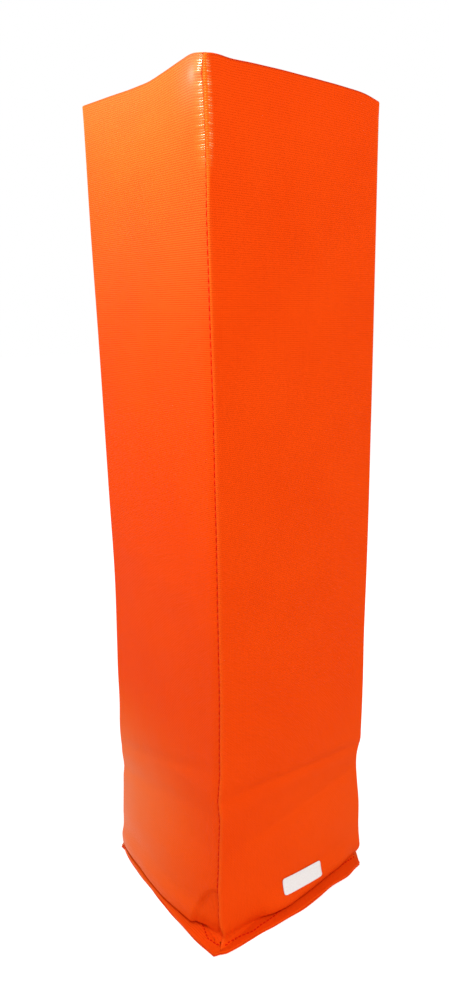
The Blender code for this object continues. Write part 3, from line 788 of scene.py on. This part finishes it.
top_face = HALF - 2 * TOP_RADIUS - GAP
top_bend = top_face - TURN_RADIUS
bend = TURN_RADIUS - CLOTH / 2
top_flaps = TURN_RADIUS + ALLOWANCE_STEPS[::-1] * (ALLOWANCE - TURN_RADIUS)
top_edge = [(top_face - CLOTH / 2, drop, True) for drop in top_flaps]
for angle in TURN_ANGLES[::-1]:
    top_edge.append((top_bend + bend * math.sin(angle), TURN_RADIUS - bend * math.cos(angle), False))
left_edge = [(-place, drop, flap) for place, drop, flap in top_edge]
middle = [(top_bend * (2 * share - 1), CLOTH / 2, False) for share in TOP_SHARES]
top_path = left_edge + middle + top_edge[::-1]
place, drop, flap = map(np.array, zip(*top_path))
x, y = np.meshgrid(place, place)
drops = drop[None, :] + drop[:, None] - CLOTH / 2
bulge = np.clip(1 - (x / top_bend) ** 2, 0, 1) * np.clip(1 - (y / top_bend) ** 2, 0, 1)
pulls = PULL_HEIGHT * np.sin(np.arctan2(y, x) * PULLS) * np.clip(np.hypot(x, y) / HALF - PULLS_FROM, 0, 1)
z = HEIGHT - drops + TOP_DOME * bulge**DOME_POWER + ripple(0, x, y + HALF) * bulge + pulls
run = travelled(place, drop)
gauge = np.stack(np.meshgrid(run, run), -1)
in_flap = flap[1:] | flap[:-1]
beside = np.ones(len(place) - 1, bool)
beside[len(left_edge) - 1 : 1 - len(left_edge)] = False
kept = ~((in_flap[None, :] & beside[:, None]) | (in_flap[:, None] & beside[None, :]))
top = cloth_piece("top_panel_cloth", stuffed(np.stack([x, y, z], -1)), gauge, vinyl, kept)
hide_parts("top_panel")

# Bottom panel
# A square of the same cloth lies flat on the floor. It is sewn to the walls' strips edge to edge, raw edges
# outwards, so both layers show along the flange.
MIDDLE_SHARES = np.concatenate([[0], np.linspace(0.1, 0.95, 9)])
EDGE_STEPS = np.linspace(0, 1, 12)
LAYER_SLIP = 0.05  # how far the two raw edges part, as a share of the flange's width
SLIP_WAVE = (8, 2.3)  # radians of its wave over half a side, and from one side to the next
SLIP_POWER = 4
EDGE_COUNT = 96

shares = np.linspace(-1, 1, EDGE_COUNT, endpoint=False)
rings = []
for step in EDGE_STEPS:
    ring = []
    for side in range(4):
        slip = LAYER_SLIP * np.sin(shares * SLIP_WAVE[0] + side * SLIP_WAVE[1]) * (1 - shares**SLIP_POWER)
        ring.append(flange_point(side, shares, step + slip * step, CLOTH / 2))
    rings.append(np.concatenate(ring + [ring[0][:1]]))
inner = [rings[0] * (share, share, 1) for share in MIDDLE_SHARES]
points = np.stack(inner + rings)
bottom = cloth_piece("bottom_panel_cloth", points, points[..., :2], vinyl, flip=True)
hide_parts("bottom_panel")

# Seam threads
# Bonded polyester thread in lockstitch, a stitch about every 4 mm. It shows as short dashes that sink into
# the groove of each corner seam, round the top seam, and in a finer row along the flange.
STITCH = {"Pitch": 0.0041, "Length": 0.0031, "Radius": 0.00039, "Dip": 0.0004}  # its ends dip down
FINER_STITCH = {"Pitch": 0.0025, "Length": 0.0015}
SEAM_ENDS = (0.0015, 0.003)  # how far a corner's stitches stay off the wall's foot and the top
GROOVE_SINK = 0.00034
SINK_AT_SWELL = 1.1  # further down where the hairpin is thicker, as a share of what it gains
THREAD_DARK = (0.54, 0.007, 0.0005, 1)
THREAD_LIGHT = (0.72, 0.018, 0.001, 1)
PLY_DEPTH = 0.00005


def stitch_tree():
    """Geometry nodes that sew dashes of thread along a line, to the sizes in STITCH."""
    made = bpy.data.node_groups.new("sewn_stitches", "GeometryNodeTree")
    face = made.interface
    face.new_socket(name="Line", in_out="INPUT", socket_type="NodeSocketGeometry")
    for name, value in STITCH.items():
        socket = face.new_socket(name=name, in_out="INPUT", socket_type="NodeSocketFloat")
        socket.default_value = value
    face.new_socket(name="Finish", in_out="INPUT", socket_type="NodeSocketMaterial")
    face.new_socket(name="Stitches", in_out="OUTPUT", socket_type="NodeSocketGeometry")
    given = made.nodes.new("NodeGroupInput").outputs
    line = add_node(made, "GeometryNodeMeshToCurve", given["Line"])
    spaced = add_node(made, "GeometryNodeResampleCurve", line.outputs[0])
    spaced.mode = "LENGTH"
    feed(made, spaced.inputs["Length"], given["Pitch"])
    half = math_node(made, "MULTIPLY", given["Length"], 0.5)
    back = math_node(made, "MULTIPLY", half, -1.0)
    low = math_node(made, "MULTIPLY", given["Dip"], -1.0)
    ends = ((back, None, low), (None, None, given["Dip"]), (half, None, low))
    start, crest, end = (add_node(made, "ShaderNodeCombineXYZ", *place).outputs[0] for place in ends)
    bend = add_node(made, "GeometryNodeCurveQuadraticBezier", 8, start, crest, end)
    profile = add_node(made, "GeometryNodeCurvePrimitiveCircle", 8, Radius=given["Radius"])
    tube = {"Curve": bend.outputs[0], "Profile_Curve": profile.outputs[0], "Fill_Caps": True}
    stitch = add_node(made, "GeometryNodeCurveToMesh", **tube)
    tangent = made.nodes.new("GeometryNodeInputTangent").outputs[0]
    outward = made.nodes.new("GeometryNodeInputNamedAttribute")
    outward.data_type = "FLOAT_VECTOR"
    outward.inputs["Name"].default_value = "outward"
    facing = None
    for vector, axis, pivot in ((tangent, "X", "AUTO"), (outward.outputs[0], "Z", "X")):
        turn = add_node(made, "FunctionNodeAlignRotationToVector", Rotation=facing, Vector=vector)
        turn.axis = axis
        turn.pivot_axis = pivot
        facing = turn.outputs[0]
    rows = {"Points": spaced.outputs[0], "Instance": stitch.outputs[0], "Rotation": facing}
    sewn = add_node(made, "GeometryNodeInstanceOnPoints", **rows)
    real = add_node(made, "GeometryNodeRealizeInstances", sewn.outputs[0])
    coated = add_node(made, "GeometryNodeSetMaterial", real.outputs[0], Material=given["Finish"])
    add_node(made, "NodeGroupOutput", coated.outputs[0])
    return made


thread, tree = new_material("orange_thread")
place = tree.nodes.new("ShaderNodeTexCoord").outputs["Object"]
plies = add_node(tree, "ShaderNodeTexWave", Vector=place, Scale=900.0, Distortion=0.6)
plies.bands_direction = "DIAGONAL"
twist = plies.outputs["Fac"]
shade = mixed(tree, twist, THREAD_DARK, THREAD_LIGHT)
surface(tree, twist, PLY_DEPTH, strength=0.5, Base_Color=shade, Roughness=0.7, Specular_IOR_Level=0.03)

stitches = stitch_tree()


def sewn_line(name, points, outward, node, closed=False, **sizes):
    """A row of stitches along points, which face outward. Sizes are those that differ from STITCH."""
    count = len(points)
    edges = [(i, (i + 1) % count) for i in range(count if closed else count - 1)]
    mesh = bpy.data.meshes.new(name)
    mesh.from_pydata(points.tolist(), edges, [])
    facing = mesh.attributes.new("outward", "FLOAT_VECTOR", "POINT")
    facing.data.foreach_set("vector", np.tile(outward, count).astype(np.float32))
    draft = placed(name, mesh)
    sewing = draft.modifiers.new("sewing", "NODES")
    sewing.node_group = stitches
    values = {**STITCH, **sizes, "Finish": thread}
    for socket in stitches.interface.items_tree:
        if socket.in_out == "INPUT" and socket.name in values:
            sewing[socket.identifier] = values[socket.name]
    piece = finished(draft, thread)
    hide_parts(node)


CORNERS = ("front_left", "front_right", "back_right", "back_left")
seam_heights = np.arange(WALL_FOOT + SEAM_ENDS[0], HEIGHT - SEAM_ENDS[1], 0.001)
for corner, name in enumerate(CORNERS):
    swell = hairpin_radius(corner, seam_heights) - FOLD_RADIUS
    groove = HALF - 2 * (FOLD_RADIUS + swell) - GAP
    side = corner - 1 if PANEL_ENDS[corner - 1][1] == "turn" else corner
    across = groove if side != corner else -groove
    line = stuffed(side_to_pylon(side, across, GROOVE_SINK + swell * SINK_AT_SWELL, seam_heights))
    sewn_line(f"{name}_corner_stitches", line, (*turned(0, -1, side), 0), f"{name}_seam_thread")

top_shares = np.linspace(-1, 1, 120, endpoint=False)
top_groove = HALF - 2 * TOP_RADIUS - GAP / 2
top_place = (top_shares * top_groove, HALF - top_groove, HEIGHT - GROOVE_SINK)
line = stuffed(np.concatenate([side_to_pylon(side, *top_place) for side in range(4)]))
sewn_line("top_stitches", line, (0, 0, 1), "top_seam_thread", closed=True)

row_shares = np.linspace(-1, 1, 140, endpoint=False)
z = STRIP_MID + CLOTH / 2 + STITCH["Radius"] / 2 + 0 * row_shares
flange_line = []
for side in range(4):
    row_out = flare(side, row_shares, z) + STITCH["Radius"] + through(STITCH_OUT_MM[side], row_shares) / 1000
    flange_line.append(stuffed(side_to_pylon(side, row_shares * HALF, -row_out, z)))
line = np.concatenate(flange_line)
sewn_line("flange_stitches", line, (0, 0, 1), "bottom_seam_thread", closed=True, **FINER_STITCH)

# Label
# A small white plastic sticker with round corners, pressed on low down on the front face. It is bare.
LABEL_SIZE = (0.0300, 0.0098)
LABEL_PLACE = (0.0028, 0.0165)
LABEL_TILT = math.radians(-5)
LABEL_ROUND = 0.0014
LABEL_THICK = 0.0002
DIMPLE_DEPTH = 0.00003
LABEL_WHITE = (0.77, 0.76, 0.74, 1)
LABEL_GREY = (0.66, 0.64, 0.62, 1)

label_rows = np.sin(np.linspace(-1, 1, 25) * math.pi / 2) * LABEL_SIZE[1] / 2
label_columns = np.linspace(-1, 1, 41)
over = np.clip(np.abs(label_rows) - LABEL_SIZE[1] / 2 + LABEL_ROUND, 0, LABEL_ROUND)
half_widths = LABEL_SIZE[0] / 2 - LABEL_ROUND + np.sqrt(LABEL_ROUND**2 - over**2)
across = label_columns[None] * half_widths[:, None]
up = label_rows[:, None] + 0 * across
x = LABEL_PLACE[0] + across * math.cos(LABEL_TILT) - up * math.sin(LABEL_TILT)
z = LABEL_PLACE[1] + across * math.sin(LABEL_TILT) + up * math.cos(LABEL_TILT)
points = stuffed(side_to_pylon(0, x, -GAP - LABEL_THICK / 2, z))

white, tree = new_material("white_sticker")
gauge = add_node(tree, "ShaderNodeUVMap")
gauge.uv_map = "cloth"
specks = add_node(tree, "ShaderNodeTexNoise", gauge.outputs[0], Scale=900.0, Detail=3.0).outputs[0]
grey = add_node(tree, "ShaderNodeMapRange", specks, 0.45, 0.75, 0.0, 0.5)
paint = mixed(tree, grey.outputs[0], LABEL_WHITE, LABEL_GREY)
surface(tree, specks, DIMPLE_DEPTH, strength=0.3, Base_Color=paint, Roughness=0.35)

label = cloth_piece("blank_sticker", points, np.stack([across, up], -1), white, thickness=LABEL_THICK)
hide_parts("blank_label")

# Foam core
# One block of flexible foam fills the post from the pinch to the top. It is pressed in behind the seam
# allowances at its four corners, and its lower edge is rounded where it stands on the sand bag.
FOAM_BOTTOM = 0.0672
FOAM_ROUND = 0.003
FOAM_CROWN = ((0.002, 0.0024), (0.0006, 0.0028), (0, 0.0040))  # drop from its top, and inset there
FOAM_STEP = 0.0005
RELIEF_RAMP = 0.002
FOAM_CREAM = (0.78, 0.74, 0.62, 1)
FOAM_PALE = (0.86, 0.84, 0.76, 1)
RING_SHARES = np.linspace(0, 1, 41)
CREASE_ROOM = 0.0018
CREASE_PLACE = (0.97, 0.16)  # its middle and half its width, as shares of the facet's reach
SEAM_CLEAR = 0.001
RELIEF_STEP = 0.004


def crease_room(side, share, z):
    """How much further in the filling stays behind the crease of the pushed-in corner."""
    if side != FACET_SIDE:
        return 0
    middle, width = CREASE_PLACE
    return CREASE_ROOM * hill(facet_reach(share, z) - middle, width)


def filling_ring(z, inset):
    """A ring inside the cover at height z, pressed in beside the seam allowances, less an even inset."""
    ring = []
    clear = CLOTH + GAP + inset
    edge = HALF - ALLOWANCE - GAP - inset
    for side, ends in enumerate(PANEL_ENDS):
        reach = []
        corners = []
        for i, end in enumerate(ends):
            seam = 2 * hairpin_radius(side + i, z) + CLOTH + 3 * GAP + inset
            reach.append(edge - RELIEF_RAMP if end == "fold" else HALF - seam - SEAM_CLEAR)
            steps = (edge, edge + RELIEF_STEP, HALF - clear) if end == "fold" else ()
            corners.append([(x, seam) for x in steps])
        path = [(-x, depth) for x, depth in corners[0][::-1]]
        for share in RING_SHARES:
            x = reach[1] * share - reach[0] * (1 - share)
            path.append((x, clear + crease_room(side, x / HALF, z)))
        ring += [(*turned(x, depth - HALF, side), z) for x, depth in path + corners[1]]
    return np.array(ring)


def filled_form(name, rings, finish, wall=0, closed_top=True):
    """A closed form through rings of equal count, its ends drawn in to their middles."""
    caps = (0.9, 0.7, 0.45, 0.2)
    low = [rings[0] * (share, share, 1) for share in caps[::-1]]
    high = [rings[-1] * (share, share, 1) for share in caps] if closed_top else []
    layers = [*low, *rings, *high]
    points = stuffed(np.array(layers)).reshape(-1, 3).tolist()
    index = np.arange(len(points)).reshape(len(layers), -1)
    after = np.roll(index, -1, 1)
    cells = np.stack([index[:-1], after[:-1], after[1:], index[1:]], -1).reshape(-1, 4).tolist()
    cells.append(index[0, ::-1].tolist())
    if closed_top:
        cells.append(index[-1].tolist())
    mesh = bpy.data.meshes.new(name)
    mesh.from_pydata(points, [], cells)
    draft = placed(name, mesh)
    if wall:
        shell = draft.modifiers.new("wall", "SOLIDIFY")
        shell.thickness = wall
        shell.offset = -1
    return finished(draft, finish)


def speckled(name, dark, light, scale, depth, roughness, woven=False):
    """A grained or woven material on object coordinates, from its two colours and its grain."""
    made, tree = new_material(name)
    texture = "ShaderNodeTexNoise" if woven else "ShaderNodeTexVoronoi"
    place = tree.nodes.new("ShaderNodeTexCoord").outputs["Object"]
    grains = add_node(tree, texture, Vector=place, Scale=scale)
    soft = add_node(tree, "ShaderNodeTexNoise", Vector=place, Scale=scale / 12, Detail=4.0)
    blend = math_node(tree, "MULTIPLY", grains.outputs[0], soft.outputs[0])
    spread = add_node(tree, "ShaderNodeMapRange", blend, 0.05, 0.45)
    colour = mixed(tree, spread.outputs[0], dark, light)
    surface(tree, grains.outputs[0], depth, strength=0.6, Base_Color=colour, Roughness=roughness)
    return made


foam = speckled("cream_foam", FOAM_CREAM, FOAM_PALE, scale=700, depth=0.0004, roughness=0.9)
foam_top = HEIGHT - CLOTH - GAP
foam_steps = ((0.072, 0.130, 0.002), (0.135, 0.400, 0.010), (0.404, HEIGHT - ALLOWANCE - 0.002, 0.004))
foam_heights = [FOAM_BOTTOM + FOAM_ROUND * (1 - np.cos(arc(0, 90, 6)))]
foam_heights += [np.arange(*steps) for steps in foam_steps]
rings = []
for z in np.concatenate([*foam_heights, [HEIGHT - ALLOWANCE - GAP]]):
    low = np.clip((z - FOAM_BOTTOM) / FOAM_ROUND, 0, 1)
    rings.append(filling_ring(z, FOAM_ROUND * (1 - math.sqrt(1 - (1 - low) ** 2))))
rings.append(filling_ring(HEIGHT - ALLOWANCE + FOAM_STEP, FOAM_CROWN[0][1]))
rings += [filling_ring(foam_top - drop, inset) for drop, inset in FOAM_CROWN]
core = filled_form("foam_block", rings, foam)
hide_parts("foam_core")

# Sand bag, its sand and its stitching
# A sack of plain cloth filled with dry sand stands in the base, under the foam. Its mouth is gathered and
# whipped shut with thick white thread.
BAG_FLOOR = CLOTH + GAP
BAG_TOP = 0.0660
BAG_CLOTH = 0.0004
BAG_SHOULDER = 0.0045
BAG_STEP = 0.003
SAND_SETTLE = 0.0008
MOUTH = (0.060, 0.0014)
MOUTH_FOLD = 0.0008
MOUTH_FOLDS = 24
MOUTH_STITCHES = 12
MOUTH_STITCH = (0.0040, 0.0003)
MOUTH_LIFT = 0.0006
SACK_WHITE = (0.74, 0.71, 0.64, 1)
SACK_SHADE = (0.60, 0.57, 0.50, 1)
SAND_DARK = (0.42, 0.29, 0.16, 1)
SAND_PALE = (0.72, 0.57, 0.37, 1)
TWINE = (0.80, 0.78, 0.72, 1)
TWINE_SHADE = (0.66, 0.63, 0.56, 1)


def bag_rings(low, high, inset):
    """Rings of the bag's form, with round shoulders at the floor and under the foam."""
    below = low + BAG_SHOULDER * (1 - np.cos(arc(0, 90, 6)))
    between = np.arange(low + BAG_SHOULDER + BAG_STEP, high - BAG_SHOULDER - 0.002, BAG_STEP)
    above = high - BAG_SHOULDER * (1 - np.sin(arc(0, 90, 6)))
    rings = []
    for z in np.concatenate([below, between, above]):
        near = min(z - low, high - z)
        drawn = BAG_SHOULDER * (1 - math.sqrt(1 - max(0, 1 - near / BAG_SHOULDER) ** 2))
        rings.append(filling_ring(z, inset + drawn))
    return rings


sack = speckled("sack_cloth", SACK_SHADE, SACK_WHITE, 1400, depth=0.00015, roughness=0.85, woven=True)
rings = bag_rings(BAG_FLOOR, BAG_TOP, 0)
outline = rings[-1]
angle = np.arctan2(outline[:, 1], outline[:, 0])
for share in np.linspace(0, 1, 9)[1:]:
    gathered = outline * (*(1 + (size / 2 / HALF - 1) * share for size in MOUTH), 1)
    gathered[:, 2] -= MOUTH_FOLD * share * (1 - share) * (1 + np.cos(angle * MOUTH_FOLDS))
    rings.append(gathered)
bag = filled_form("sand_sack", rings, sack, wall=BAG_CLOTH, closed_top=False)
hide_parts("sand_bag")

sand = speckled("dry_sand", SAND_DARK, SAND_PALE, scale=2600, depth=0.0003, roughness=0.95)
lining = BAG_CLOTH + GAP
heap_rings = bag_rings(BAG_FLOOR + lining, BAG_TOP - lining - SAND_SETTLE, lining)
heap = filled_form("loose_sand", heap_rings, sand)
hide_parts("sand_fill")

twine = speckled("white_twine", TWINE_SHADE, TWINE, 1800, depth=0.0001, roughness=0.7, woven=True)
whip = bpy.data.curves.new("mouth_stitches", "CURVE")
whip.dimensions = "3D"
whip.bevel_depth = MOUTH_STITCH[1]
whip.bevel_resolution = 3
whip.use_fill_caps = True
steps = np.linspace(-0.5, 0.5, 8 * MOUTH_STITCHES + 1)
swing = np.sin(steps * math.pi * MOUTH_STITCHES) * MOUTH_STITCH[0] / 2
places = np.stack([steps * MOUTH[0], swing, BAG_TOP + MOUTH_LIFT + MOUTH_STITCH[1] + 0 * steps], -1)
spline = whip.splines.new("POLY")
spline.points.add(len(places) - 1)
for spot, place in zip(spline.points, stuffed(places)):
    spot.co = (*place, 1)
whipping = finished(placed("mouth_stitches", whip), twine)
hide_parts("sand_bag_thread")
